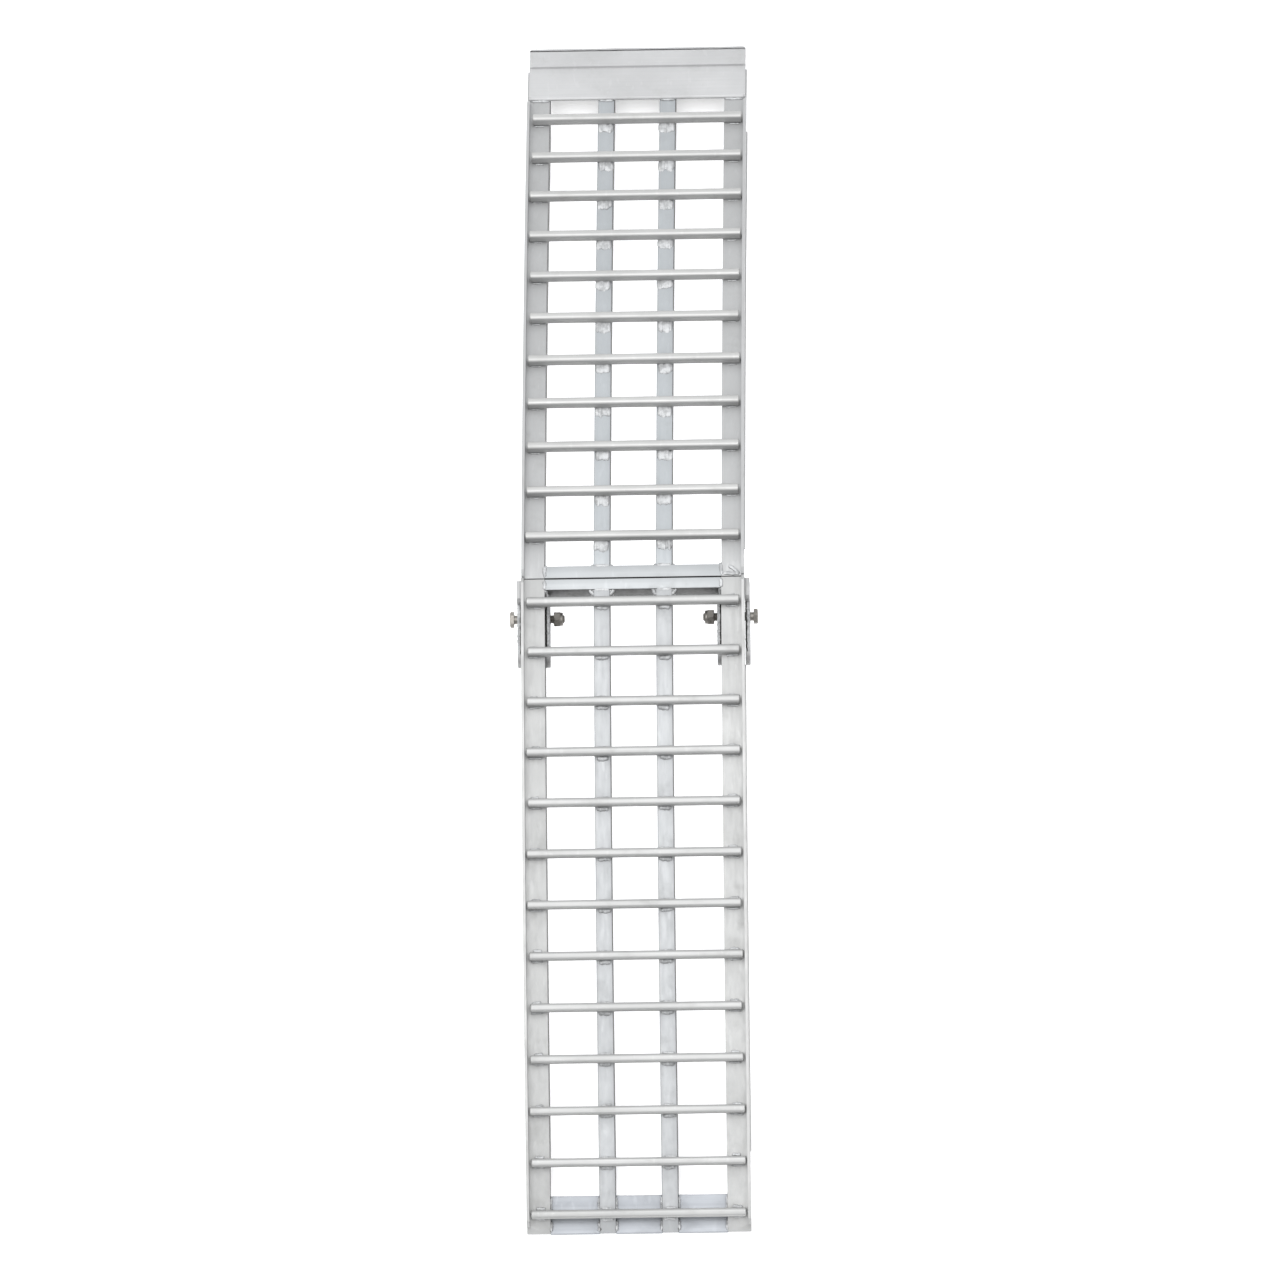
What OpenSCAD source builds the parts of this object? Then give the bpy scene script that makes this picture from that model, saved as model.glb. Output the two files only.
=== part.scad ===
// Arched folding loading ramp: two curved ladder-like halves that fold underside to underside.
// +Z is up and +Y runs from the foot to the lip. The origin is on the ground, straight below
// the line where the halves meet, in the middle of the width. Units are millimetres.

/* [Ramp] */
// Overall width of the rails
ramp_w = 305; // [280:5:340]
// Length of each half along its tread, from the split to the rail's end
half_len = 902; // [895:1:915]
// Radius that each half's rails are bent to
arch_r = 3000; // [2800:50:3400]
// Angle between the two halves' treads where they meet
hinge_kink = 10; // [8:0.5:12]

/* [Rails] */
// Width of an outer rail
outer_rail_w = 32; // [28:1:36]
// Depth of an outer rail below the tread
outer_rail_d = 50; // [48:1:54]
// Wall of an outer rail
outer_wall = 4; // [3:0.5:4.5]
// Height of the curb along an outer rail's edge
curb_h = 14; // [8:1:18]
// Width of a middle rail
mid_rail_w = 22; // [18:1:26]
// Depth of a middle rail
mid_rail_d = 38; // [34:1:42]
// Wall of a middle rail
mid_wall = 2.5; // [2:0.5:3]
// Distance of a middle rail from the centre line
mid_x = 42.5; // [36:0.5:50]

/* [Rungs] */
// Distance between rungs along the tread
rung_pitch = 70; // [69:0.5:71]
// Size of a rung along the ramp
rung_w = 12; // [10:0.5:14]
// Height of a rung
rung_h = 15; // [12:0.5:18]
// Radius of a rung's corners
rung_r = 4.5; // [3:0.5:4.5]
// Rungs on the lower half
lower_rungs = 13; // [13]
// Rungs on the upper half
upper_rungs = 11; // [11]

/* [Lip and foot] */
// Width of the lip plate
lip_w = 300; // [260:5:300]
// Thickness of the lip plate
lip_t = 5; // [4:0.5:6]
// Angle that the lip's tip is bent down by
lip_bend = 8; // [6:0.5:9]
// Thickness of the foot plates
foot_t = 4; // [3:0.5:4]

/* [Hinge] */
// Thickness of a hinge plate
plate_t = 6.35; // [5:0.05:8]
// Distance of the pivot from the split, along the lower half
pivot_s = 47; // [45:1:50]
// Depth of the pivot below the tread
pivot_d = 38; // [36:0.5:39]
// Diameter of the pivot bolt
bolt_d = 12; // [10:1:12]

/* [Hidden] */
$fn = 96;
arc_fn = 720;

// Places along the tread, measured from the split
lower_first_rung = 35;
upper_first_rung = 61;
lip_start = 802;
lip_bend_s = 863;
upper_rail_end = 858;
curb_end = 796;
curb_foot_gap = 10;
lower_bar_w = 16;
upper_bar_w = 19;
end_bar_d = 46;
end_bar_wall = 3;
split_wall = 8;
bar_lap = 2;

// Rails run this far past the split before they are cut on it
run_lead = 10;

// Slanted corners of the curbs
curb_snip = 6;
snip_size = 40;
snip_turn = 35;

// Foot plates' sole and slope
sole = 20;
slope_len = 34;

// Lip plate's rounded-off edge, and the raised strip along its tip
lip_nose = 2;
lip_step = 4;
lip_step_lead = 3;

// Gaps and clearances
split_gap = 1.6;
upper_trim_z = 4;
foot_tip_h = 4;
side_clear = 0.5;
bore_clear = 0.06;

// Hinge details
plate_r = 15;
plate_head_r = 13.5;
plate_tail_s = 100;
plate_head_s = 33;
plate_head_d = 34;
plate_tail_d = 41;
tab_start_s = 2;
tab_s = 31;
tab_d = 32;
tab_top_d = 1;
tab_corner = 4;
lug_r = 15;
lug_t = 25;
lug_root_s = 78;
lug_root_d = 26;
lug_root_r = 16;
lower_relief_s = 112;
upper_relief_s = 66;
relief_bite = 0.2;
relief_drop = 15;
relief_lead = 20;
link_waist = 0.8;
hex_af = 19;
bolt_head_h = 7.5;
bolt_slack = 3;
nut_h = 12.4;
nut_slack = 4.7;
thread_end = 2.5;
collar_h = 3;
collar_d = 17.5;

// Derived sizes
half_w = ramp_w / 2;
inner_x = half_w - outer_rail_w;
upper_out_x = half_w - side_clear;
upper_in_x = inner_x + side_clear;
rung_len = 2 * (half_w - outer_wall - side_clear);
hinge_tilt = hinge_kink / 2;
split_z = foot_tip_h + arch_r * (cos(hinge_tilt) - cos(bend(half_len)));
foot_y = -arc_y(half_len, 0);
pivot = lower_point(pivot_s, pivot_d);
lip_tip_len = arc_z(lip_bend_s, 0) / sin(bend(lip_bend_s) + lip_bend);
hex_d = hex_af / cos(30);
big = 2000;

LOWER_RUNG_NAMES = [for (i = [1:lower_rungs]) str("lower_rung_", i)];
UPPER_RUNG_NAMES = [for (i = [1:upper_rungs]) str("upper_rung_", i)];

// Tread slope at a distance s from the split, in degrees below the horizontal
function bend(s) = hinge_tilt + s / arch_r * 180 / PI;
// Place of a point at distance s along the tread and height h over it
function arc_y(s, h) = (arch_r + h) * sin(bend(s)) - arch_r * sin(hinge_tilt);
function arc_z(s, h) = split_z + (arch_r + h) * cos(bend(s)) - arch_r * cos(hinge_tilt);
// Side-view points, [y, z], at distance s and depth d under each half's tread
function lower_point(s, d) = [-arc_y(s, -d), arc_z(s, -d)];
function upper_point(s, d) = [arc_y(s, -d), arc_z(s, -d)];

// ---- helpers -------------------------------------------------------------------------

// Flat section, drawn as [x, height over the tread], swept along the upper half's arc
module arc_run(s_from, s_to) {
    translate([0, -arch_r * sin(hinge_tilt), split_z - arch_r * cos(hinge_tilt)])
        mirror([1, 0, -1])
            rotate([0, 0, bend(s_from)])
                rotate_extrude(angle = bend(s_to) - bend(s_from), $fn = arc_fn)
                    translate([arch_r, 0])
                        mirror([1, -1])
                            children();
}

// Frame on the tread at distance s, with Y along it and Z square to it
module on_arc(s) {
    translate([0, arc_y(s, 0), arc_z(s, 0)])
        rotate([-bend(s), 0, 0])
            children();
}

// The lower half is laid out as the upper half is, then mirrored across the split
module lower_side() {
    intersection() {
        mirror([0, 1, 0])
            children();
        translate([-big / 2, -big, 0])
            cube([big, big - split_gap / 2, big]);
    }
}

module upper_side() {
    intersection() {
        children();
        translate([-big / 2, split_gap / 2, upper_trim_z])
            cube([big, big, big]);
    }
}

// Side-view outline, drawn as [y, z], made into a plate that starts at x
module side_plate(x, thickness) {
    translate([x, 0, 0])
        rotate([90, 0, 90])
            linear_extrude(thickness)
                children();
}

// Cylinder along X
module x_rod(x, y, z, d, length) {
    translate([x, y, z])
        rotate([0, 90, 0])
            cylinder(d = d, h = length);
}

module on_left() {
    mirror([1, 0, 0])
        children();
}

// Plate with two round ends, joined by a bar that is slightly slimmer than they are
module link_plate(x, thickness, a, a_r, b, b_r) {
    step = b - a;
    across = [-step[1], step[0]] / norm(step);
    x_rod(x, a[0], a[1], 2 * a_r, thickness);
    x_rod(x, b[0], b[1], 2 * b_r, thickness);
    side_plate(x, thickness)
        polygon([
            a + (a_r - link_waist) * across,
            b + (b_r - link_waist) * across,
            b - (b_r - link_waist) * across,
            a - (a_r - link_waist) * across
        ]);
}

// Hole along X for the pivot bolt
module pivot_bore() {
    x_rod(0, pivot[0], pivot[1], bolt_d + 2 * bore_clear, big);
}

// ---- rails ---------------------------------------------------------------------------

// Channel that opens outwards, with the flanges running from x_in to x_out
module channel_section(x_in, x_out) {
    translate([x_in, -outer_rail_d])
        square([outer_wall, outer_rail_d]);
    translate([x_in, -outer_wall])
        square([x_out - x_in, outer_wall]);
    translate([x_in, -outer_rail_d])
        square([x_out - x_in, outer_wall]);
}

module curb_section(x_out) {
    translate([x_out - outer_wall, -outer_wall])
        square([outer_wall, outer_wall + curb_h]);
}

// Slanted cut that takes the corner off a curb's end at distance s
module curb_corner(s, turn) {
    on_arc(s)
        translate([0, 0, curb_h - curb_snip])
            rotate([turn, 0, 0])
                translate([0, -snip_size, 0])
                    cube([ramp_w, 2 * snip_size, snip_size]);
}

// Part of a channel's bottom flange, from the split to s_end, that makes room for the lug
module flange_relief(x_in, s_end) {
    on_arc(0)
        translate([x_in + outer_wall - relief_bite, -relief_lead, -outer_rail_d - relief_drop])
            cube([outer_rail_w, s_end + relief_lead, 2 * outer_wall + relief_drop]);
}

// Outer rail of the upper half's layout: a channel with a curb along its outer edge
module outer_rail(x_in, x_out, rail_end, curb_tip) {
    arc_run(-run_lead, rail_end)
        channel_section(x_in, x_out);
    difference() {
        arc_run(-run_lead, curb_tip)
            curb_section(x_out);
        curb_corner(curb_tip, -snip_turn);
        curb_corner(0, snip_turn);
    }
}

module lower_outer_rail() {
    color("silver")
        difference() {
            lower_side()
                union() {
                    outer_rail(inner_x, half_w, half_len, half_len - curb_foot_gap);
                }
            mirror([0, 1, 0])
                flange_relief(inner_x, lower_relief_s);
            pivot_bore();
        }
}

module upper_outer_rail() {
    color("silver")
        difference() {
            upper_side()
                union() {
                    outer_rail(upper_in_x, upper_out_x, upper_rail_end, curb_end);
                }
            flange_relief(upper_in_x, upper_relief_s);
        }
}

module tube_section(x) {
    translate([x - mid_rail_w / 2, -mid_rail_d])
        difference() {
            square([mid_rail_w, mid_rail_d]);
            translate([mid_wall, mid_wall])
                square([mid_rail_w - 2 * mid_wall, mid_rail_d - 2 * mid_wall]);
        }
}

// Middle rail of the upper half's layout, from the end bar's far face to s_end
module mid_rail(x, bar_w, s_end) {
    difference() {
        arc_run(bar_w - bar_lap, s_end)
            tube_section(x);
        on_arc(0)
            translate([-half_w, -run_lead, -2 * mid_rail_d])
                cube([ramp_w, bar_w + run_lead, 3 * mid_rail_d]);
    }
}

module lower_mid_rail(x) {
    color("silver")
        lower_side()
            mid_rail(x, lower_bar_w, half_len);
}

module upper_mid_rail(x) {
    color("silver")
        upper_side()
            mid_rail(x, upper_bar_w, upper_rail_end);
}

// ---- rungs and end bars --------------------------------------------------------------

module rung_section() {
    core_w = rung_w - 2 * rung_r;
    core_h = rung_h - 2 * rung_r;
    translate([-rung_w / 2, rung_r])
        square([rung_w, core_h]);
    translate([-core_w / 2, 0])
        square([core_w, rung_h]);
    for (side = [-1, 1], level = [rung_r, rung_h - rung_r])
        translate([side * core_w / 2, level])
            circle(r = rung_r);
}

module rung(s) {
    color("gainsboro")
        on_arc(s)
            side_plate(-rung_len / 2, rung_len)
                rung_section();
}

module lower_rung(i) {
    mirror([0, 1, 0])
        rung(lower_first_rung + (i - 1) * rung_pitch);
}

module upper_rung(i) {
    rung(upper_first_rung + (i - 1) * rung_pitch);
}

// Rectangular tube across a half's hinge end, with its near wall cut on the split
module end_bar(width, x_end) {
    on_arc(0)
        difference() {
            translate([-x_end, -run_lead, -end_bar_d])
                cube([2 * x_end, width + run_lead, end_bar_d]);
            translate([-ramp_w, split_wall, end_bar_wall - end_bar_d])
                cube([2 * ramp_w, width - split_wall - end_bar_wall, end_bar_d - 2 * end_bar_wall]);
        }
}

module lower_end_bar() {
    color("silver")
        lower_side()
            end_bar(lower_bar_w, inner_x);
}

module upper_end_bar() {
    color("silver")
        upper_side()
            end_bar(upper_bar_w, upper_in_x);
}

// ---- foot and lip --------------------------------------------------------------------

// Bent strip: a flat sole on the ground, then a slope that follows the tread
module foot_outline() {
    a = bend(half_len);
    bend_back = foot_t * tan(a / 2);
    top = [sole + slope_len * cos(a), slope_len * sin(a)];
    polygon([
        [0, 0],
        [sole, 0],
        top,
        top + foot_t * [-sin(a), cos(a)],
        [sole - bend_back, foot_t],
        [0, foot_t]
    ]);
}

module foot_plates() {
    gap_edges = [
        [-inner_x, -mid_x - mid_rail_w / 2],
        [-mid_x + mid_rail_w / 2, mid_x - mid_rail_w / 2],
        [mid_x + mid_rail_w / 2, inner_x]
    ];
    color("lightsteelblue")
        for (edges = gap_edges)
            translate([0, foot_y, 0])
                side_plate(edges[0], edges[1] - edges[0])
                    foot_outline();
}

// Plate that lies on the rails, then bends down to the surface that the ramp hooks on
module lip_plate() {
    flat_len = lip_bend_s - lip_start;
    tip_t = lip_t + lip_step;
    lip_ahead = [cos(lip_bend), -sin(lip_bend)];
    lip_up = [sin(lip_bend), cos(lip_bend)];
    tip = lip_tip_len * lip_ahead;
    color("silver")
        on_arc(lip_bend_s)
            side_plate(-lip_w / 2, lip_w)
                polygon([
                    [-flat_len, 0],
                    [0, 0],
                    tip,
                    tip + (tip_t - lip_nose) * lip_up,
                    tip + tip_t * lip_up - lip_nose * lip_ahead,
                    [tip_t * tan(lip_bend / 2), tip_t],
                    [-lip_step_lead, tip_t],
                    [-lip_step_lead, lip_t],
                    [lip_nose - flat_len, lip_t],
                    [-flat_len, lip_t - lip_nose]
                ]);
}

// ---- hinge ---------------------------------------------------------------------------

module hinge_plate_blank(x) {
    link_plate(
        x, plate_t,
        lower_point(plate_head_s, plate_head_d), plate_head_r,
        lower_point(plate_tail_s, plate_tail_d), plate_r
    );
    x_rod(x, pivot[0], pivot[1], 2 * plate_r, plate_t);
}

// Upright tab that reaches the rail's top flange
module tab_outline() {
    polygon([
        lower_point(tab_start_s, tab_top_d),
        lower_point(tab_s - tab_corner, tab_top_d),
        lower_point(tab_s, tab_top_d + tab_corner),
        lower_point(tab_s, tab_d),
        lower_point(tab_start_s, tab_d)
    ]);
}

module inner_hinge_plate() {
    color("darkgray")
        difference() {
            union() {
                hinge_plate_blank(inner_x - plate_t);
            }
            pivot_bore();
        }
}

module outer_hinge_plate() {
    color("darkgray")
        difference() {
            union() {
                hinge_plate_blank(half_w);
                side_plate(half_w, plate_t)
                    tab_outline();
            }
            pivot_bore();
        }
}

// Bar welded inside the upper rail, whose eye turns on the bolt inside the lower rail
module hinge_lug() {
    color("darkgray")
        difference() {
            union() {
                link_plate(
                    upper_in_x + outer_wall, lug_t,
                    pivot, lug_r,
                    upper_point(lug_root_s, lug_root_d), lug_root_r
                );
            }
            pivot_bore();
        }
}

module hexagon(x, length) {
    translate([x, pivot[0], pivot[1]])
        rotate([0, 90, 0])
            cylinder(d = hex_d, h = length, $fn = 6);
}

module pivot_bolt() {
    head_x = half_w + plate_t + bolt_slack;
    tip_x = inner_x - plate_t - nut_slack - nut_h - thread_end;
    color("dimgray") {
        hexagon(head_x, bolt_head_h);
        x_rod(tip_x, pivot[0], pivot[1], bolt_d, head_x - tip_x);
    }
}

module lock_nut() {
    nut_x = inner_x - plate_t - nut_slack - nut_h;
    color("dimgray")
        difference() {
            union() {
                hexagon(nut_x + collar_h, nut_h - collar_h);
                x_rod(nut_x, pivot[0], pivot[1], collar_d, collar_h);
            }
            pivot_bore();
        }
}

// ---- assembly ------------------------------------------------------------------------

on_left() lower_outer_rail();  // lower_left_rail
lower_outer_rail();  // lower_right_rail
lower_mid_rail(-mid_x);  // lower_mid_left_rail
lower_mid_rail(mid_x);  // lower_mid_right_rail
on_left() upper_outer_rail();  // upper_left_rail
upper_outer_rail();  // upper_right_rail
upper_mid_rail(-mid_x);  // upper_mid_left_rail
upper_mid_rail(mid_x);  // upper_mid_right_rail
for (i = [1:lower_rungs])
    lower_rung(i);
for (i = [1:upper_rungs])
    upper_rung(i);
lower_end_bar();
upper_end_bar();
foot_plates();
lip_plate();
on_left() inner_hinge_plate();  // left_inner_hinge_plate
inner_hinge_plate();  // right_inner_hinge_plate
on_left() outer_hinge_plate();  // left_outer_hinge_plate
outer_hinge_plate();  // right_outer_hinge_plate
on_left() hinge_lug();  // left_hinge_lug
hinge_lug();  // right_hinge_lug
on_left() pivot_bolt();  // left_pivot_bolt
pivot_bolt();  // right_pivot_bolt
on_left() lock_nut();  // left_lock_nut
lock_nut();  // right_lock_nut
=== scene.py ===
"""Arched folding loading ramp: looks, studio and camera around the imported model. Metres throughout."""
import itertools
import math
import random

import bmesh
import bpy
from mathutils import Matrix, Vector, noise


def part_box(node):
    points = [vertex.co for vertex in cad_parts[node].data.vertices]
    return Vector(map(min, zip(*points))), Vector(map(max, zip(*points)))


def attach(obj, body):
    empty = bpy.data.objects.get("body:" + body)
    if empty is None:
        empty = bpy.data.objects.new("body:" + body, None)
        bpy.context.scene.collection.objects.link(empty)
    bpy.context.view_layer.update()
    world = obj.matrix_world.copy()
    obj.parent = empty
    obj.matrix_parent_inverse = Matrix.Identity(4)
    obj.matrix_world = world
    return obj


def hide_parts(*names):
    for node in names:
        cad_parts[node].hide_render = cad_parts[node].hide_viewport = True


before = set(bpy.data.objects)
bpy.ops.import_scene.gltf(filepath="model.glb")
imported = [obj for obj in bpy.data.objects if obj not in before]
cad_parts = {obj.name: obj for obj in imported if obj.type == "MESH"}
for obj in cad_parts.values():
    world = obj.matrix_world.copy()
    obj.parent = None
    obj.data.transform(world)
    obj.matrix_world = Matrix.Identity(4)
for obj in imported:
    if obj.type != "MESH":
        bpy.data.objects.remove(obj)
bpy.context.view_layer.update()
LOWER, UPPER = "lower_half", "upper_half"
RNG = random.Random(11)

# ---- driving sizes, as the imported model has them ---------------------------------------
ARC_R = 3.0
HINGE_TILT = math.radians(5)
HALF_LEN = 0.902
SOLE_TOP = 0.004
SPLIT_Z = SOLE_TOP + ARC_R * (math.cos(HINGE_TILT) - math.cos(HINGE_TILT + HALF_LEN / ARC_R))
RAIL_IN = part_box("lower_right_rail")[0].x
RAIL_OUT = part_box("lower_right_rail")[1].x
MID_X = sum(c.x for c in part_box("lower_mid_right_rail")) / 2
MID_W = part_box("lower_mid_right_rail")[1].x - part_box("lower_mid_right_rail")[0].x
WALL = 0.004
PITCH = 0.070
RUNG_W, RUNG_H, RUNG_R = 0.012, 0.015, 0.0045
LOWER_RUNGS = [0.035 + i * PITCH for i in range(13)]
UPPER_RUNGS = [0.061 + i * PITCH for i in range(11)]


def slope(s):
    """How far the tread leans below the horizontal, s metres from the split."""
    return HINGE_TILT + s / ARC_R


def tread(half, s, up=0.0, x=0.0):
    """A point on a half's tread: half is 1 for the upper and -1 for the lower."""
    a = slope(s)
    y = (ARC_R + up) * math.sin(a) - ARC_R * math.sin(HINGE_TILT)
    z = SPLIT_Z + (ARC_R + up) * math.cos(a) - ARC_R * math.cos(HINGE_TILT)
    return Vector((x, half * y, z))


def tread_axes(half, s):
    """Unit vectors along the tread (away from the split) and out of it."""
    a = slope(s)
    return Vector((0, half * math.cos(a), -math.sin(a))), Vector((0, half * math.sin(a), math.cos(a)))


# ---- mesh helpers ----------------------------------------------------------------------
MERGE_DIST = 1e-6
FLAT_ANGLE = math.radians(0.4)
SHARP_ANGLE = math.radians(25)


def add_object(name, bm, material, body, smooth_angle=35):
    """Turns a bmesh into an object that rides on a body."""
    bmesh.ops.recalc_face_normals(bm, faces=bm.faces)
    mesh = bpy.data.meshes.new(name)
    bm.to_mesh(mesh)
    bm.free()
    mesh.polygons.foreach_set("use_smooth", [True] * len(mesh.polygons))
    mesh.set_sharp_from_angle(angle=math.radians(smooth_angle))
    mesh.materials.append(material)
    obj = bpy.data.objects.new(name, mesh)
    bpy.context.scene.collection.objects.link(obj)
    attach(obj, body)
    return obj


def paint_shade_on_faces(obj, is_wall, material=None):
    """Paints shade onto the faces that pass is_wall(centre, normal): they take the given darker metal, or
    the side walls' dark painted-shade metal unless told otherwise.
    """
    obj.data.materials.append(material or WALL_PAINTED_SHADE)
    for face in obj.data.polygons:
        if is_wall(face.center, face.normal):
            face.material_index = 1


def soften(node, name, material, body, width=0.0006, segments=2, corner_radius=0.0):
    """A node's own shape with its flat faces whole again and its edges eased."""
    bm = bmesh.new()
    bm.from_mesh(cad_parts[node].data)
    bmesh.ops.remove_doubles(bm, verts=bm.verts, dist=MERGE_DIST)
    bmesh.ops.dissolve_limit(
        bm, angle_limit=FLAT_ANGLE, verts=bm.verts, edges=bm.edges, delimit=set()
    )
    if corner_radius:
        round_plan_corners(bm, corner_radius)
    bm.normal_update()
    sharp = [e for e in bm.edges if e.is_manifold and e.calc_face_angle(0) > SHARP_ANGLE]
    bmesh.ops.bevel(
        bm, geom=sharp, offset=width, segments=segments, profile=0.5, affect="EDGES", clamp_overlap=True
    )
    bmesh.ops.triangulate(bm, faces=[f for f in bm.faces if len(f.verts) > 4])
    obj = add_object(name, bm, material, body)
    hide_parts(node)
    return obj


def ring_sweep(bm, rings, closed_ends=True):
    """Joins rings of points, each with the same count, into a tube with fanned ends."""
    layers = [[bm.verts.new(p) for p in ring] for ring in rings]
    count = len(layers[0])
    for a, b in zip(layers, layers[1:]):
        for i in range(count):
            j = (i + 1) % count
            bm.faces.new((a[i], a[j], b[j], b[i]))
    if closed_ends:
        bm.faces.new(layers[0])
        bm.faces.new(reversed(layers[-1]))
    return layers


# ---- materials -------------------------------------------------------------------------
class Nodes:
    """Short names for building a node tree."""

    def __init__(self, name):
        self.material = bpy.data.materials.new(name)
        self.material.use_nodes = True
        self.tree = self.material.node_tree
        self.shader = self.tree.nodes["Principled BSDF"]
        self.coords = self.add("ShaderNodeTexCoord").outputs["Object"]

    def add(self, kind, **settings):
        node = self.tree.nodes.new(kind)
        for key, value in settings.items():
            setattr(node, key, value)
        return node

    def link(self, source, target):
        self.tree.links.new(source, target)
        return target

    def stretched(self, scale):
        mapping = self.add("ShaderNodeMapping")
        mapping.inputs["Scale"].default_value = scale
        self.link(self.coords, mapping.inputs["Vector"])
        return mapping.outputs["Vector"]

    def noise(self, scale, detail=4.0, rough=0.55, vector=None):
        tex = self.add("ShaderNodeTexNoise")
        tex.inputs["Scale"].default_value = scale
        tex.inputs["Detail"].default_value = detail
        tex.inputs["Roughness"].default_value = rough
        self.link(vector or self.coords, tex.inputs["Vector"])
        return tex.outputs["Fac"]

    def remap(self, value, low, high, to_low, to_high, smooth=False):
        node = self.add("ShaderNodeMapRange")
        node.interpolation_type = "SMOOTHSTEP" if smooth else "LINEAR"
        self.link(value, node.inputs["Value"])
        for key, number in zip(("From Min", "From Max", "To Min", "To Max"), (low, high, to_low, to_high)):
            node.inputs[key].default_value = number
        return node.outputs["Result"]

    def math(self, operation, a, b=None):
        node = self.add("ShaderNodeMath", operation=operation)
        for socket, value in zip(node.inputs, (a, b)):
            if value is None:
                continue
            if isinstance(value, (int, float)):
                socket.default_value = value
            else:
                self.link(value, socket)
        return node.outputs[0]

    def mix_colour(self, factor, a, b, blend="MIX"):
        node = self.add("ShaderNodeMix", data_type="RGBA", blend_type=blend)
        for socket, value in ((node.inputs[0], factor), (node.inputs[6], a), (node.inputs[7], b)):
            if isinstance(value, (int, float)):
                socket.default_value = value
            elif isinstance(value, tuple):
                socket.default_value = (*value, 1)
            else:
                self.link(value, socket)
        return node.outputs[2]

    def bump(self, heights):
        """Chains (height, distance, strength) bumps into the shader's normal."""
        normal = None
        for height, distance, strength in heights:
            node = self.add("ShaderNodeBump")
            node.inputs["Distance"].default_value = distance
            node.inputs["Strength"].default_value = strength
            self.link(height, node.inputs["Height"])
            if normal:
                self.link(normal, node.inputs["Normal"])
            normal = node.outputs["Normal"]
        self.link(normal, self.shader.inputs["Normal"])


def aluminium(name, colour, grain, rough=(0.42, 0.58), metallic=0.4, dirt=0.5):
    """Mill-finish aluminium. grain is the drawing direction: X for rungs, Y for rails."""
    n = Nodes(name)
    along, across = 7.0, 900.0
    scale = (along, across, across) if grain == "X" else (across, along, across)
    die_lines = n.noise(1.0, 3.0, 0.6, n.stretched(scale))
    wide_lines = n.noise(1.0, 2.0, 0.5, n.stretched(tuple(v * 0.22 for v in scale)))
    cloud = n.noise(9.0, 5.0, 0.6)
    fine = n.noise(420.0, 3.0, 0.6)
    smudge = n.remap(n.noise(26.0, 6.0, 0.68), 0.5, 0.72, 0.0, 1.0, smooth=True)

    lighter = tuple(min(1.0, c * 1.07) for c in colour)
    darker = tuple(c * 0.9 for c in colour)
    grimy = tuple(c * f for c, f in zip(colour, (0.62, 0.61, 0.58)))
    base = n.mix_colour(n.remap(cloud, 0.3, 0.7, 0.0, 1.0), darker, lighter)
    base = n.mix_colour(n.remap(die_lines, 0.35, 0.65, 0.0, 0.35), base, darker)
    base = n.mix_colour(n.math("MULTIPLY", smudge, 0.28 * dirt), base, grimy)

    scratch_field = n.noise(1.0, 1.0, 0.4, n.stretched((160.0, 34.0, 90.0)))
    scratches = n.remap(scratch_field, 0.685, 0.7, 0.0, 1.0)
    base = n.mix_colour(n.math("MULTIPLY", scratches, 0.2), base, tuple(min(1.0, c * 1.12) for c in colour))
    n.link(base, n.shader.inputs["Base Color"])

    roughness = n.remap(wide_lines, 0.3, 0.7, rough[0], rough[1])
    roughness = n.math("ADD", roughness, n.math("MULTIPLY", smudge, 0.1))
    roughness = n.math("SUBTRACT", roughness, n.math("MULTIPLY", scratches, 0.05))
    n.link(roughness, n.shader.inputs["Roughness"])
    n.shader.inputs["Metallic"].default_value = metallic
    n.bump([(die_lines, 0.0002, 0.35), (wide_lines, 0.0004, 0.25), (fine, 0.0001, 0.2)])
    return n.material


def weld_metal(name, colour):
    """Bright ripples with smut in the hollows."""
    n = Nodes(name)
    grit = n.noise(900.0, 4.0, 0.65)
    patches = n.remap(n.noise(130.0, 4.0, 0.6), 0.42, 0.62, 0.0, 1.0, smooth=True)
    base = n.mix_colour(patches, colour, tuple(c * 0.7 for c in colour))
    base = n.mix_colour(n.remap(grit, 0.55, 0.75, 0.0, 0.4), base, (0.16, 0.15, 0.14))
    n.link(base, n.shader.inputs["Base Color"])
    n.link(n.remap(grit, 0.3, 0.7, 0.42, 0.66), n.shader.inputs["Roughness"])
    n.shader.inputs["Metallic"].default_value = 0.4
    n.bump([(grit, 0.0003, 0.5)])
    return n.material


def zinc_steel(name, colour):
    """Dulled zinc plating with spangle and brown handling marks."""
    n = Nodes(name)
    spangle = n.add("ShaderNodeTexVoronoi", feature="F1")
    spangle.inputs["Scale"].default_value = 700.0
    n.link(n.coords, spangle.inputs["Vector"])
    tone = n.remap(spangle.outputs["Distance"], 0.1, 0.7, 0.0, 1.0)
    base = n.mix_colour(tone, tuple(c * 0.8 for c in colour), colour)
    stain = n.remap(n.noise(160.0, 5.0, 0.65), 0.52, 0.68, 0.0, 0.55, smooth=True)
    base = n.mix_colour(stain, base, (0.05, 0.042, 0.034))
    n.link(base, n.shader.inputs["Base Color"])
    n.link(n.remap(tone, 0.0, 1.0, 0.3, 0.5), n.shader.inputs["Roughness"])
    n.shader.inputs["Metallic"].default_value = 0.85
    n.bump([(n.noise(1500.0, 3.0, 0.6), 0.00008, 0.4)])
    return n.material


def nylon(name, colour):
    n = Nodes(name)
    speck = n.noise(900.0, 3.0, 0.6)
    n.link(n.mix_colour(speck, tuple(c * 0.85 for c in colour), colour), n.shader.inputs["Base Color"])
    n.link(n.remap(speck, 0.3, 0.7, 0.35, 0.5), n.shader.inputs["Roughness"])
    n.bump([(speck, 0.00005, 0.3)])
    return n.material


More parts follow.
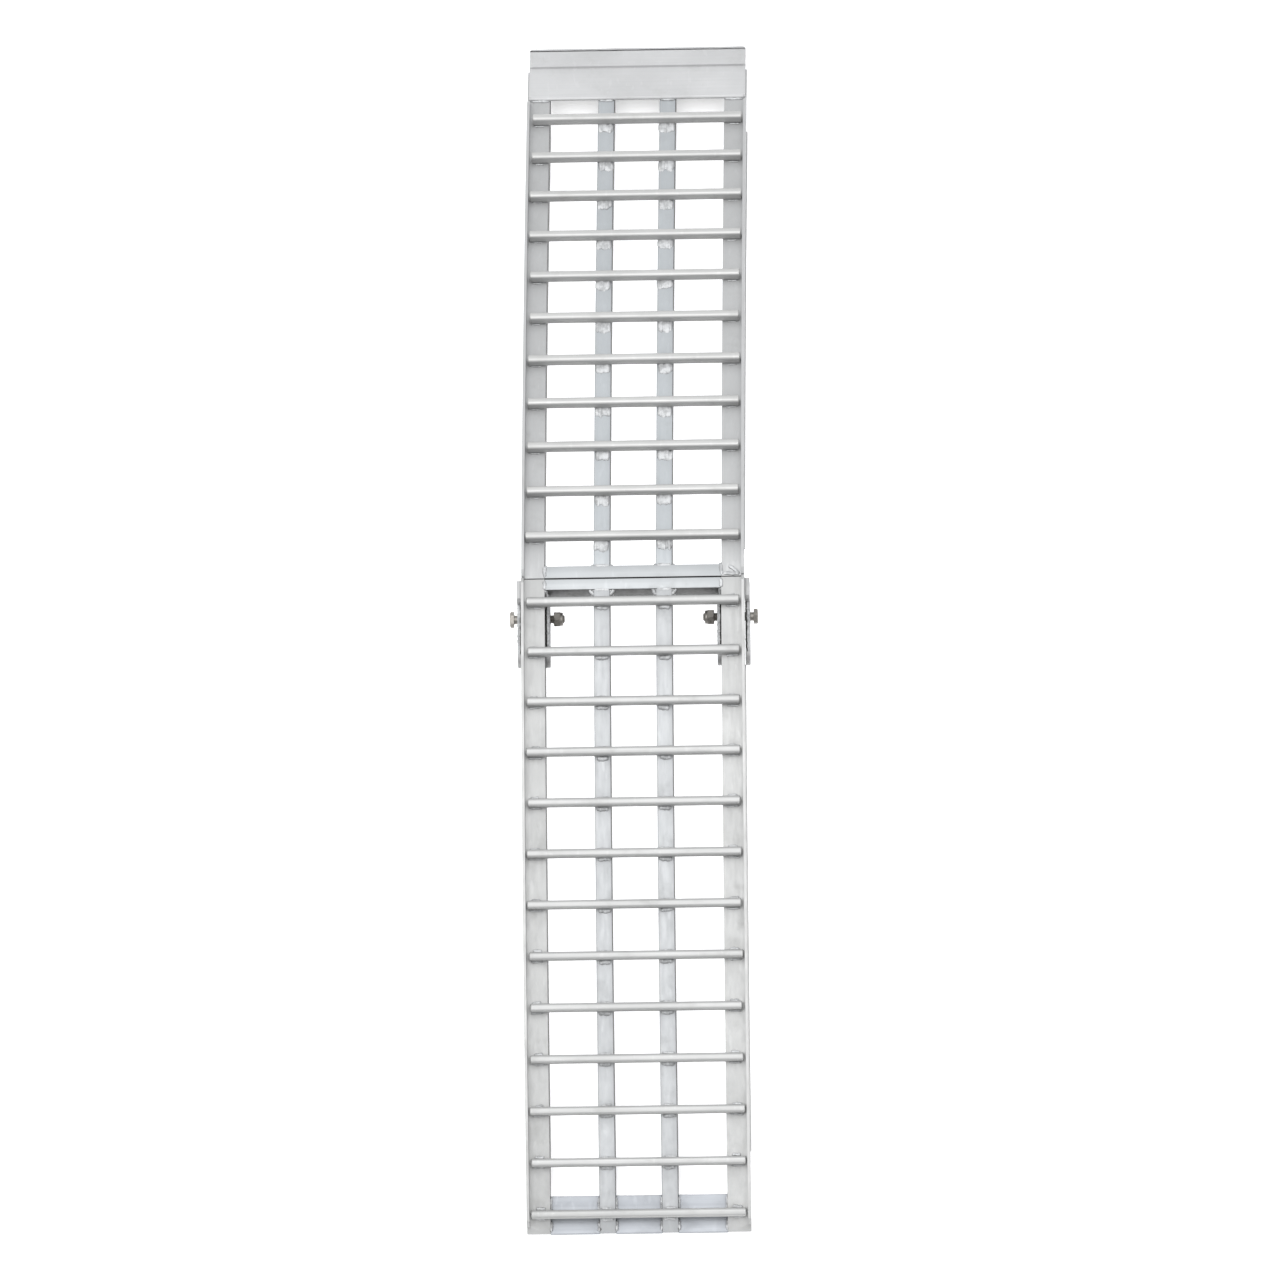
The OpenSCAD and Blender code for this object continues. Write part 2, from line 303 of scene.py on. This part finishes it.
RAIL = aluminium("rail_aluminium", (0.42, 0.42, 0.415), "Y")
UPPER_RAIL = aluminium("upper_rail_aluminium", (0.395, 0.397, 0.398), "Y")
LOWER_MID_RAIL = aluminium("lower_mid_rail_aluminium", (0.382, 0.389, 0.396), "Y")
MID_RAIL = aluminium("mid_rail_aluminium", (0.375, 0.392, 0.405), "Y")
# painted shade: a dark metal for the side walls of rails, tubes and end bars
WALL_PAINTED_SHADE = aluminium("side_wall_painted_shade", (0.12, 0.12, 0.12), "Y", dirt=0.9)
# one rung metal in two copies: painted lighter on the upper half and darker on the lower, for how each half
# takes the light
LOWER_RUNG_SHADED_COPY = aluminium("lower_rung_shaded_copy_aluminium", (0.385, 0.385, 0.38), "X", rough=(0.36, 0.5))
UPPER_RUNG_LIT_COPY = aluminium("upper_rung_lit_copy_aluminium", (0.44, 0.438, 0.43), "X", rough=(0.36, 0.5))
# painted shade: a darker metal for the rungs' foot-facing sides
RUNG_SIDE_PAINTED_SHADE = aluminium("rung_side_painted_shade", (0.34, 0.34, 0.337), "X", dirt=0.8)
BAR = aluminium("bar_aluminium", (0.4, 0.412, 0.42), "X")
LIP = aluminium("lip_aluminium", (0.465, 0.465, 0.467), "X")
FOOT = aluminium("foot_aluminium", (0.31, 0.323, 0.345), "X", rough=(0.36, 0.5))
HINGE = aluminium("hinge_aluminium", (0.37, 0.37, 0.37), "Y", rough=(0.4, 0.55), dirt=0.9)
WELD = weld_metal("weld_bead", (0.49, 0.495, 0.5))
# weld soot and painted shade for the beads' skirts
SMUT_AND_SHADE = weld_metal("weld_smut_and_painted_shade", (0.09, 0.087, 0.08))
STEEL = zinc_steel("pivot_steel", (0.27, 0.255, 0.235))
NYLON = nylon("lock_ring_nylon", (0.1, 0.16, 0.27))


# ---- rails, bars, plates: the model's own shapes with eased edges -----------------------
# Width of the eased edge on each kind of piece
EASE = {
    "channel": 0.0007,
    "tube": 0.0009,
    "bar": 0.0009,
    "foot": 0.0006,
    "lip": 0.0013,
    "cheek": 0.0008,
    "lug": 0.001,
}
LIP_CORNER_R = 0.0045
END_TOLERANCE = 1e-4
LONGEST_CORNER = 0.0095


def round_plan_corners(bm, radius):
    """Rounds a plate's corners as seen from above, before its edges are eased.
    They are the short edges that lie wholly in the plate's two ends."""
    reach = max(v.co.x for v in bm.verts) - END_TOLERANCE
    ends = [e for e in bm.edges if all(abs(v.co.x) > reach for v in e.verts)]
    corners = [e for e in ends if e.calc_length() < LONGEST_CORNER]
    bmesh.ops.bevel(bm, geom=corners, offset=radius, segments=4, profile=0.5, affect="EDGES")


def build_frame_pieces():
    steep = math.cos(math.radians(45))
    for half, outer, mid in (("lower", RAIL, LOWER_MID_RAIL), ("upper", UPPER_RAIL, MID_RAIL)):
        body = f"{half}_half"
        for side, sign in (("left", -1), ("right", 1)):
            rail = soften(
                f"{half}_{side}_rail", f"{half}_{side}_channel", outer, body, EASE["channel"]
            )
            # painted shade on the channel's inner web
            paint_shade_on_faces(rail, lambda c, n: -sign * n.x > steep and abs(c.x) < RAIL_IN + WALL / 2)
            tube = soften(
                f"{half}_mid_{side}_rail", f"{half}_mid_{side}_tube", mid, body, EASE["tube"]
            )
            # painted shade on both sides of the middle tube
            paint_shade_on_faces(tube, lambda c, n: abs(n.x) > steep)
        bar = soften(f"{half}_end_bar", f"{half}_cross_bar", BAR, body, EASE["bar"])
        # painted shade on the end bar's faces along the ramp
        paint_shade_on_faces(bar, lambda c, n: abs(n.y) > steep)
    soften("foot_plates", "foot_strips", FOOT, LOWER, EASE["foot"])
    soften("lip_plate", "lip_sheet", LIP, UPPER, EASE["lip"], 4, corner_radius=LIP_CORNER_R)
    for side in ("left", "right"):
        for place in ("inner", "outer"):
            plate, cheek = f"{side}_{place}_hinge_plate", f"{side}_{place}_cheek"
            soften(plate, cheek, HINGE, LOWER, EASE["cheek"], 3)
        soften(f"{side}_hinge_lug", f"{side}_eye_bar", HINGE, UPPER, EASE["lug"], 3)


# ---- rungs -----------------------------------------------------------------------------
def rung_outline(segments=6):
    """Points of a rung's section as (along the ramp, up), with round corners."""
    points = []
    for cx, cy, start in (
        (RUNG_W / 2 - RUNG_R, RUNG_R, -90),
        (RUNG_W / 2 - RUNG_R, RUNG_H - RUNG_R, 0),
        (RUNG_R - RUNG_W / 2, RUNG_H - RUNG_R, 90),
        (RUNG_R - RUNG_W / 2, RUNG_R, 180),
    ):
        for k in range(segments + 1):
            a = math.radians(start + 90 * k / segments)
            points.append((cx + RUNG_R * math.cos(a), cy + RUNG_R * math.sin(a)))
    return points


# Rungs stop short of the curbs, are cut a little unevenly and have slightly rounded ends
CURB_GAP = 0.0022
LEFT_CUT = (-0.0004, 0.003)
RIGHT_CUT = (-0.0004, 0.002)
END_ROUND = 0.0012
RUNG_STEPS = 24
END_MARGIN = 0.004
FACES_FOOT = 0.8


def build_rungs(half, body, places, node_prefix, metal):
    outline = rung_outline()
    half_len = RAIL_OUT - WALL - CURB_GAP
    for i, s in enumerate(places, 1):
        origin = tread(half, s)
        forward, up = tread_axes(half, s)
        left = -half_len + RNG.uniform(*LEFT_CUT)
        right = half_len - RNG.uniform(*RIGHT_CUT)
        stations = [(left, END_ROUND), (left + END_ROUND, 0.0)]
        stations += [(left + (right - left) * k / RUNG_STEPS, 0.0) for k in range(1, RUNG_STEPS)]
        stations += [(right - END_ROUND, 0.0), (right, END_ROUND)]
        bm = bmesh.new()
        rings = []
        for x, inset in stations:
            ring = []
            for u, v in outline:
                shrink = 1 - inset / (RUNG_W / 2)
                vv = RUNG_H / 2 + (v - RUNG_H / 2) * (1 - inset / (RUNG_H / 2))
                ring.append(origin + Vector((x, 0, 0)) + forward * (u * shrink) + up * vv)
            rings.append(ring)
        ring_sweep(bm, rings)
        rung = add_object(f"{node_prefix}_bar_{i}", bm, metal, body)
        # painted shade on the rung's foot-facing side, short of its ends
        paint_shade_on_faces(
            rung,
            lambda c, n: n.dot(forward) * half < -FACES_FOOT and abs(c.x) < half_len - END_MARGIN,
            RUNG_SIDE_PAINTED_SHADE,
        )
        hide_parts(f"{node_prefix}_{i}")


# ---- welds -----------------------------------------------------------------------------
RIPPLE = 0.0024
RIPPLE_DEPTH = 0.14
BEAD_SIDES = 14
END_SCALE = 0.4
WOBBLE, WOBBLE_RATE = 0.34, 260
DRIFT, DRIFT_RATE = 0.32, 190
# bead faces that lean out less than this take soot and painted shade
SMUT_AND_SHADE_BELOW = 0.26


def bead(bm, start, end, out, height, width, seed):
    """Overlapping weld ripples from start to end, height proud along out and width to each side.
    The skirt of the bead takes the second material: weld soot, and painted shade where the bead meets the
    surface."""
    axis = (end - start).normalized()
    out = (out - axis * out.dot(axis)).normalized()
    side = axis.cross(out)
    length = (end - start).length
    steps = max(8, round(length / RIPPLE * 4))
    rings = []
    for k in range(steps + 1):
        t = k / steps
        phase = (t * length / RIPPLE) % 1.0
        scallop = 1 - RIPPLE_DEPTH + RIPPLE_DEPTH * math.sqrt(max(0.0, 1 - (2 * phase - 1) ** 2))
        taper = math.sqrt(max(0.0, 1 - abs(2 * t - 1) ** 7)) if 0 < k < steps else END_SCALE
        wobble = 1 + WOBBLE * noise.noise(Vector((seed * 3.7, t * length * WOBBLE_RATE, 0)))
        size = scallop * taper * wobble
        drift = side * (width * DRIFT * noise.noise(Vector((t * length * DRIFT_RATE, seed * 1.9, 4))))
        centre = start + (end - start) * t + drift
        rings.append(
            [
                centre + side * (math.cos(a) * width * size) + out * (math.sin(a) * height * size)
                for a in (2 * math.pi * j / BEAD_SIDES for j in range(BEAD_SIDES))
            ]
        )
    before = len(bm.faces)
    ring_sweep(bm, rings)
    bm.faces.ensure_lookup_table()
    for i in range(steps * BEAD_SIDES):
        j = i % BEAD_SIDES
        # the bead's low, sideways and downward faces: soot, and painted shade at its edge
        if math.sin(2 * math.pi * (j + 0.5) / BEAD_SIDES) < SMUT_AND_SHADE_BELOW:
            bm.faces[before + i].material_index = 1


def add_welds(name, bm, body):
    welds = add_object(name, bm, WELD, body, 60)
    # the second material: weld soot and painted shade on the skirts
    welds.data.materials.append(SMUT_AND_SHADE)


# Reach, height and width of the bead on a rung's foot side, then on its lip side
RUNG_WELDS = {
    (-1, "mid"): ((0.0088, 0.0026, 0.0034), (0.0080, 0.0018, 0.0020)),
    (-1, "outer"): ((0.0090, 0.0016, 0.0016), (0.0064, 0.0020, 0.0026)),
    (1, "mid"): ((0.0108, 0.0026, 0.0096), (0.0080, 0.0018, 0.0020)),
    (1, "outer"): ((0.0070, 0.0012, 0.0010), (0.0070, 0.0016, 0.0020)),
}


# How far a rung's beads are out of place, and how their sizes vary
BEAD_SHIFT = 0.0012
BEAD_SKEW = 0.0008
REACH_SPREAD = (0.88, 1.06)
WIDTH_SPREAD = (0.85, 1.12)
BEAD_LEAN = 0.15


def build_rung_welds(half, body, places, name):
    """Each rung is welded on both of its sides to every rail that it crosses."""
    bm = bmesh.new()
    outer_mid = (RAIL_IN + RAIL_OUT - WALL) / 2
    seed = 100 * (half + 2)
    for s in places:
        for x in (-outer_mid, -MID_X, MID_X, outer_mid):
            foot_bead, lip_bead = RUNG_WELDS[half, "mid" if abs(x) == MID_X else "outer"]
            for toward_lip, (reach, height, width) in ((1, lip_bead), (-1, foot_bead)):
                seed += 1
                direction = half * toward_lip
                forward, up = tread_axes(half, s)
                shift = RNG.uniform(-BEAD_SHIFT, BEAD_SHIFT)
                reach *= RNG.uniform(*REACH_SPREAD)
                width *= RNG.uniform(*WIDTH_SPREAD)
                offset = RUNG_W / 2 + width * 0.6 - 0.0004
                centre = tread(half, s, 0.0002, x + shift) + forward * (direction * offset)
                lean = up + forward * (direction * BEAD_LEAN)
                start = centre - Vector((reach, 0, 0)) + forward * RNG.uniform(-BEAD_SKEW, BEAD_SKEW)
                end = centre + Vector((reach, 0, 0)) + forward * RNG.uniform(-BEAD_SKEW, BEAD_SKEW)
                bead(bm, start, end, lean, height, width, seed)
    add_welds(name, bm, body)


# Height and width of each kind of bead on the frame
BEADS = {
    "bar_top": (0.0008, 0.0022),
    "bar_side": (0.0042, 0.004),
    "bar_fillet": (0.0024, 0.0026),
    "bar_corner": (0.0034, 0.0034),
    "bar_end": (0.0009, 0.0024),
    "repair_long": (0.0016, 0.0024),
    "repair_short": (0.0014, 0.0028),
    "foot_sole": (0.0028, 0.0026),
    "foot_slope": (0.0024, 0.0022),
    "lip": (0.0019, 0.0019),
    "cheek": (0.0032, 0.003),
}
END_BAR_W = {-1: 0.016, 1: 0.019}
BESIDE = 0.0006
WIDE = Vector((1, 0, 0))
FRAME_SEEDS = itertools.count(501)


def frame_bead(bm, start, end, out, kind):
    bead(bm, start, end, out, *BEADS[kind], next(FRAME_SEEDS))


def weld_end_bar(bm, half):
    """Across the middle rails' tops, down their sides, and at the outer rails."""
    bar_w = END_BAR_W[half]
    forward, up = tread_axes(half, bar_w)
    for x in (-MID_X, MID_X):
        centre = tread(half, bar_w + 0.0005, -0.0003, x)
        reach = WIDE * (MID_W * 0.44)
        frame_bead(bm, centre - reach, centre + reach, up, "bar_top")
        for edge in (-1, 1):
            face_x = x + edge * (MID_W / 2 + BESIDE)
            top = tread(half, bar_w + 0.001, -0.002, face_x)
            low = tread(half, bar_w + 0.001, -0.03, face_x)
            frame_bead(bm, top, low, forward + WIDE * edge, "bar_side")
            if half == -1:
                # a slanted fillet across the corner, which narrows the slot's ends
                rail_side = x + edge * (MID_W / 2 - BESIDE)
                on_bar = tread(half, bar_w - 0.0004, -0.0028, rail_side + edge * 0.0062)
                on_rail = tread(half, bar_w + 0.0085, -0.0028, rail_side)
                frame_bead(bm, on_bar, on_rail, up, "bar_fillet")
    for side in (-1, 1):
        top = tread(half, bar_w + 0.0008, -0.002, side * (RAIL_IN - 0.0008))
        low = tread(half, bar_w + 0.0008, -0.028, side * (RAIL_IN - 0.0008))
        frame_bead(bm, top, low, forward - WIDE * side, "bar_corner")
        near = tread(half, 0.003, 0.0001, side * RAIL_IN)
        far = tread(half, bar_w - 0.001, 0.0001, side * RAIL_IN)
        frame_bead(bm, near, far, up, "bar_end")


def weld_corner_repair(bm):
    """A repair on the upper half's right corner, beside the split."""
    up = tread_axes(1, 0.01)[1]
    corner = tread(1, 0.0042, 0.0003, RAIL_OUT - 0.007)
    frame_bead(bm, tread(1, 0.0165, 0.0003, RAIL_IN + 0.011), corner, up, "repair_long")
    frame_bead(bm, tread(1, 0.0042, 0.0003, RAIL_IN + 0.003), corner, up, "repair_short")


def weld_foot_strips(bm):
    """Short beads beside each rail, on the sole and up the slope."""
    sole_len, sole_run, slope_run = 0.02, 0.015, 0.024
    foot_low, foot_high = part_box("foot_plates")
    rise = (foot_high.z - SOLE_TOP) / (foot_high.y - foot_low.y - sole_len)
    edges = [(side * RAIL_IN, -side) for side in (-1, 1)]
    edges += [(m + e * MID_W / 2, e) for m in (-MID_X, MID_X) for e in (-1, 1)]
    for x, direction in edges:
        out = Vector((direction, 0, 1))
        x += direction * BESIDE
        start = Vector((x, foot_low.y + 0.003, SOLE_TOP + 0.0004))
        frame_bead(bm, start, start + Vector((0, sole_run, 0)), out, "foot_sole")
        start = Vector((x, foot_low.y + slope_run, SOLE_TOP + 0.0024))
        frame_bead(bm, start, start + Vector((0, slope_run, slope_run * rise)), out, "foot_slope")


def weld_lip(bm):
    """Along the lip plate's lower edge, on every rail."""
    edge_s, mid_reach, outer_reach = 0.8015, 0.0092, 0.0125
    outer_x = RAIL_IN + 0.014
    forward, up = tread_axes(1, edge_s)
    places = [(side * MID_X, mid_reach) for side in (-1, 1)]
    places += [(side * outer_x, outer_reach) for side in (-1, 1)]
    for x, reach in places:
        centre = tread(1, edge_s, 0.0006, x)
        frame_bead(bm, centre - WIDE * reach, centre + WIDE * reach, up - forward, "lip")


def weld_hinge_cheeks(bm):
    """Along the cheeks' top edges, where they meet the lower rails' webs."""
    proud = 0.0032
    plate_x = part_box("right_outer_hinge_plate")[0].x
    for side in (-1, 1):
        for place, inward in ((RAIL_IN, -1), (plate_x, 1)):
            x = side * (place + inward * proud)
            top = tread(-1, 0.026, -0.0195, x)
            far = tread(-1, 0.100, -0.0265, x)
            frame_bead(bm, top, far, Vector((side * inward, 0, 1)), "cheek")


def build_structure_welds():
    lower, upper = bmesh.new(), bmesh.new()
    weld_end_bar(lower, -1)
    weld_end_bar(upper, 1)
    weld_corner_repair(upper)
    weld_foot_strips(lower)
    weld_lip(upper)
    weld_hinge_cheeks(lower)
    add_welds("lower_frame_welds", lower, LOWER)
    add_welds("upper_frame_welds", upper, UPPER)


# ---- hinge hardware --------------------------------------------------------------------
BOLT_R = 0.006
SHANK_R = BOLT_R - 0.0001
THREAD_PITCH = 0.00175
THREAD_DEPTH = 0.0009
THREADED_LEN = 0.024
HEX_AF = 0.019
HEAD_H = 0.0056
HEAD_TURN = 0.2
NUT_TURN = math.radians(24)
CORNER_DROP = 0.0011
# The hexagon's end: share of the corner drop, and the cone's radius there over the flats' own
HEX_CONE = ((0.0, 0.97), (0.3, 1.03), (0.65, 1.1))
PAST_CORNERS = 1.2
COLLAR_LEN = 0.003
COLLAR_R = HEX_AF / 2 - 0.0004
COLLAR_WALL = 0.0023
# The nut's collar, from the hexagon round to its hole: distance from the end, and inset from COLLAR_R
COLLAR_PROFILE = (
    (0.0034, 0.0),
    (0.0007, 0.0),
    (0.0002, 0.0003),
    (0.0, 0.0008),
    (0.0, 0.0022),
    (0.0008, COLLAR_WALL),
)


def pivot_point():
    low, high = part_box("right_pivot_bolt")
    return (low.y + high.y) / 2, (low.z + high.z) / 2


def circle(x, centre_y, centre_z, radius, count):
    """A ring of points across the hinge's axis."""
    angles = [2 * math.pi * j / count for j in range(count)]
    return [Vector((x, centre_y + radius * math.cos(a), centre_z + radius * math.sin(a))) for a in angles]


def threaded_shank(bm, x_from, x_to, thread_to, centre_y, centre_z, sign):
    """A shank whose far end is threaded: the thread's crest winds round as x grows."""
    sides = 32
    thread_step, plain_step = THREAD_PITCH / 6, 0.004
    rings = []
    x = x_from
    while x < x_to - 1e-9:
        threaded = x < thread_to
        tip = min(1.0, 0.72 + (x - x_from) / 0.0012 * 0.28)
        ring = []
        for j in range(sides):
            turn = j / sides
            depth = 0.0
            if threaded:
                wave = ((x - x_from) / THREAD_PITCH + turn) % 1.0
                depth = THREAD_DEPTH * abs(2 * wave - 1)
            r = (SHANK_R - depth) * tip
            a = 2 * math.pi * turn
            ring.append(Vector((sign * x, centre_y + r * math.cos(a), centre_z + r * math.sin(a))))
        rings.append(ring)
        x += thread_step if threaded else plain_step
    rings.append(circle(sign * x_to, centre_y, centre_z, SHANK_R, sides))
    ring_sweep(bm, rings)


def hex_solid(bm, x_from, x_to, centre_y, centre_z, sign, turn, chamfer_from=True):
    """A hexagon whose corners are turned off to a cone at its ends."""
    sides = 48
    flat_r = HEX_AF / 2

    def radius(a):
        return flat_r / math.cos((a - turn + math.pi / 6) % (math.pi / 3) - math.pi / 6)

    def ring(x, limit):
        points = []
        for j in range(sides):
            a = turn + 2 * math.pi * j / sides
            r = min(radius(a), limit)
            points.append(Vector((sign * x, centre_y + r * math.cos(a), centre_z + r * math.sin(a))))
        return points

    whole = flat_r * PAST_CORNERS
    rings = []
    if chamfer_from:
        rings += [ring(x_from + CORNER_DROP * drop, flat_r * reach) for drop, reach in HEX_CONE]
        rings += [ring(x_from + CORNER_DROP, whole)]
    else:
        rings += [ring(x_from, whole)]
    rings += [ring(x_to - CORNER_DROP, whole)]
    rings += [ring(x_to - CORNER_DROP * drop, flat_r * reach) for drop, reach in reversed(HEX_CONE)]
    ring_sweep(bm, rings)


def build_bolt(side, sign, y, z):
    low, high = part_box("right_pivot_bolt")
    head_x = high.x - HEAD_H
    bm = bmesh.new()
    threaded_shank(bm, low.x, head_x, low.x + THREADED_LEN, y, z, sign)
    hex_solid(bm, head_x - 0.0001, high.x, y, z, sign, HEAD_TURN * sign, chamfer_from=False)
    bolt = add_object(f"{side}_hinge_bolt", bm, STEEL, LOWER)
    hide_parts(f"{side}_pivot_bolt")


def build_nut(side, sign, y, z):
    low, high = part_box("right_lock_nut")
    bm = bmesh.new()
    hex_solid(bm, low.x + COLLAR_LEN, high.x, y, z, sign, NUT_TURN)
    ring_sweep(bm, [circle(sign * (low.x + x), y, z, COLLAR_R - inset, 40) for x, inset in COLLAR_PROFILE])
    nut = add_object(f"{side}_nyloc_nut", bm, STEEL, LOWER)
    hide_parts(f"{side}_lock_nut")


def build_nylon_ring(side, sign, y, z):
    """The insert that fills the collar's hole up to the thread."""
    x_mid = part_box("right_lock_nut")[0].x + 0.0009
    ring_r = (COLLAR_R - COLLAR_WALL + BOLT_R) / 2
    tube = (COLLAR_R - COLLAR_WALL - BOLT_R) / 2 * 1.1
    around, across = 36, 10
    bm = bmesh.new()
    rings = []
    for k in range(around):
        a = 2 * math.pi * k / around
        ring = []
        for j in range(across):
            b = 2 * math.pi * j / across
            reach = ring_r + tube * math.cos(b)
            x = x_mid + 0.5 * tube * math.sin(b)
            ring.append(Vector((sign * x, y + reach * math.cos(a), z + reach * math.sin(a))))
        rings.append(ring)
    layers = ring_sweep(bm, rings, closed_ends=False)
    for i in range(across):
        j = (i + 1) % across
        bm.faces.new((layers[-1][i], layers[-1][j], layers[0][j], layers[0][i]))
    insert = add_object(f"{side}_nylon_ring", bm, NYLON, LOWER)


def build_hardware():
    y, z = pivot_point()
    for side, sign in (("left", -1), ("right", 1)):
        build_bolt(side, sign, y, z)
        build_nut(side, sign, y, z)
        build_nylon_ring(side, sign, y, z)


# ---- studio ----------------------------------------------------------------------------
FLOOR_DROP = 0.0003
FLOOR_GLOW = 0.4
KEY_ENERGY = 1.7
KEY_WIDTH = math.radians(55)
KEY_DIRECTION = Vector((0.12, 0.05, -1.4))
CEILING_DIRECTION = Vector((-0.1, 0.2, 1))
DIMMEST, BRIGHTEST = 0.35, 1.35


def build_studio():
    mesh = bpy.data.meshes.new("studio_floor")
    size = 40.0
    mesh.from_pydata(
        [(-size, -size, 0), (size, -size, 0), (size, size, 0), (-size, size, 0)], [], [(0, 1, 2, 3)]
    )
    floor = bpy.data.objects.new("studio_floor", mesh)
    floor.location.z = -FLOOR_DROP
    bpy.context.scene.collection.objects.link(floor)
    n = Nodes("floor_white")
    n.shader.inputs["Base Color"].default_value = (0.93, 0.93, 0.93, 1)
    n.shader.inputs["Roughness"].default_value = 0.9
    # the floor gives off a little light, so that the shadows between the rungs stay pale
    n.shader.inputs["Emission Color"].default_value = (1, 1, 1, 1)
    n.shader.inputs["Emission Strength"].default_value = FLOOR_GLOW
    mesh.materials.append(n.material)

    build_world()
    bpy.context.scene.view_settings.view_transform = "Standard"
    # one very large, far softbox overhead, a little to the left
    data = bpy.data.lights.new("key_light", "SUN")
    data.angle = KEY_WIDTH
    data.energy = KEY_ENERGY
    lamp = bpy.data.objects.new("key_light", data)
    lamp.rotation_euler = KEY_DIRECTION.to_track_quat("-Z", "Y").to_euler()
    bpy.context.scene.collection.objects.link(lamp)


def build_world():
    """A bright ceiling over the lip end that falls off to a dim horizon at the foot end."""
    world = bpy.data.worlds.new("studio_world")
    world.use_nodes = True
    tree = world.node_tree
    coords = tree.nodes.new("ShaderNodeTexCoord")
    height = tree.nodes.new("ShaderNodeVectorMath")
    height.operation = "DOT_PRODUCT"
    height.inputs[1].default_value = CEILING_DIRECTION.normalized()
    ramp = tree.nodes.new("ShaderNodeMapRange")
    tree.links.new(coords.outputs["Generated"], height.inputs[0])
    tree.links.new(height.outputs["Value"], ramp.inputs["Value"])
    for name, value in (("From Min", 0.0), ("From Max", 0.8), ("To Min", DIMMEST), ("To Max", BRIGHTEST)):
        ramp.inputs[name].default_value = value
    background = tree.nodes["Background"]
    background.inputs["Color"].default_value = (0.97, 0.985, 1, 1)
    tree.links.new(ramp.outputs["Result"], background.inputs["Strength"])
    bpy.context.scene.world = world


def build_camera():
    """High over the foot end, a little to the right, through a long lens."""
    elevation, yaw, roll = math.radians(68.7), math.radians(2.0), math.radians(-0.85)
    back = Vector((0, -math.cos(elevation), math.sin(elevation)))
    climb = Vector((0, math.sin(elevation), math.cos(elevation)))
    aim = tread(-1, 0) - climb * 0.0853 + Vector((0.0086, 0, 0))
    back = (back * math.cos(yaw) + Vector((math.sin(yaw), 0, 0))).normalized()
    right = climb.cross(back).normalized()
    basis = Matrix((right, back.cross(right), back)).transposed().to_4x4()
    distance, view_width = 27.0, 1.746
    data = bpy.data.cameras.new("camera")
    data.sensor_width = 36
    data.lens = data.sensor_width * distance / view_width
    data.clip_end = 200
    camera = bpy.data.objects.new("camera", data)
    camera.matrix_world = Matrix.Translation(aim + back * distance) @ basis @ Matrix.Rotation(roll, 4, "Z")
    bpy.context.scene.collection.objects.link(camera)
    bpy.context.scene.camera = camera


build_frame_pieces()
build_rungs(-1, LOWER, LOWER_RUNGS, "lower_rung", LOWER_RUNG_SHADED_COPY)
build_rungs(1, UPPER, UPPER_RUNGS, "upper_rung", UPPER_RUNG_LIT_COPY)
build_rung_welds(-1, LOWER, LOWER_RUNGS, "lower_rung_welds")
build_rung_welds(1, UPPER, UPPER_RUNGS, "upper_rung_welds")
build_structure_welds()
build_hardware()
build_studio()
build_camera()
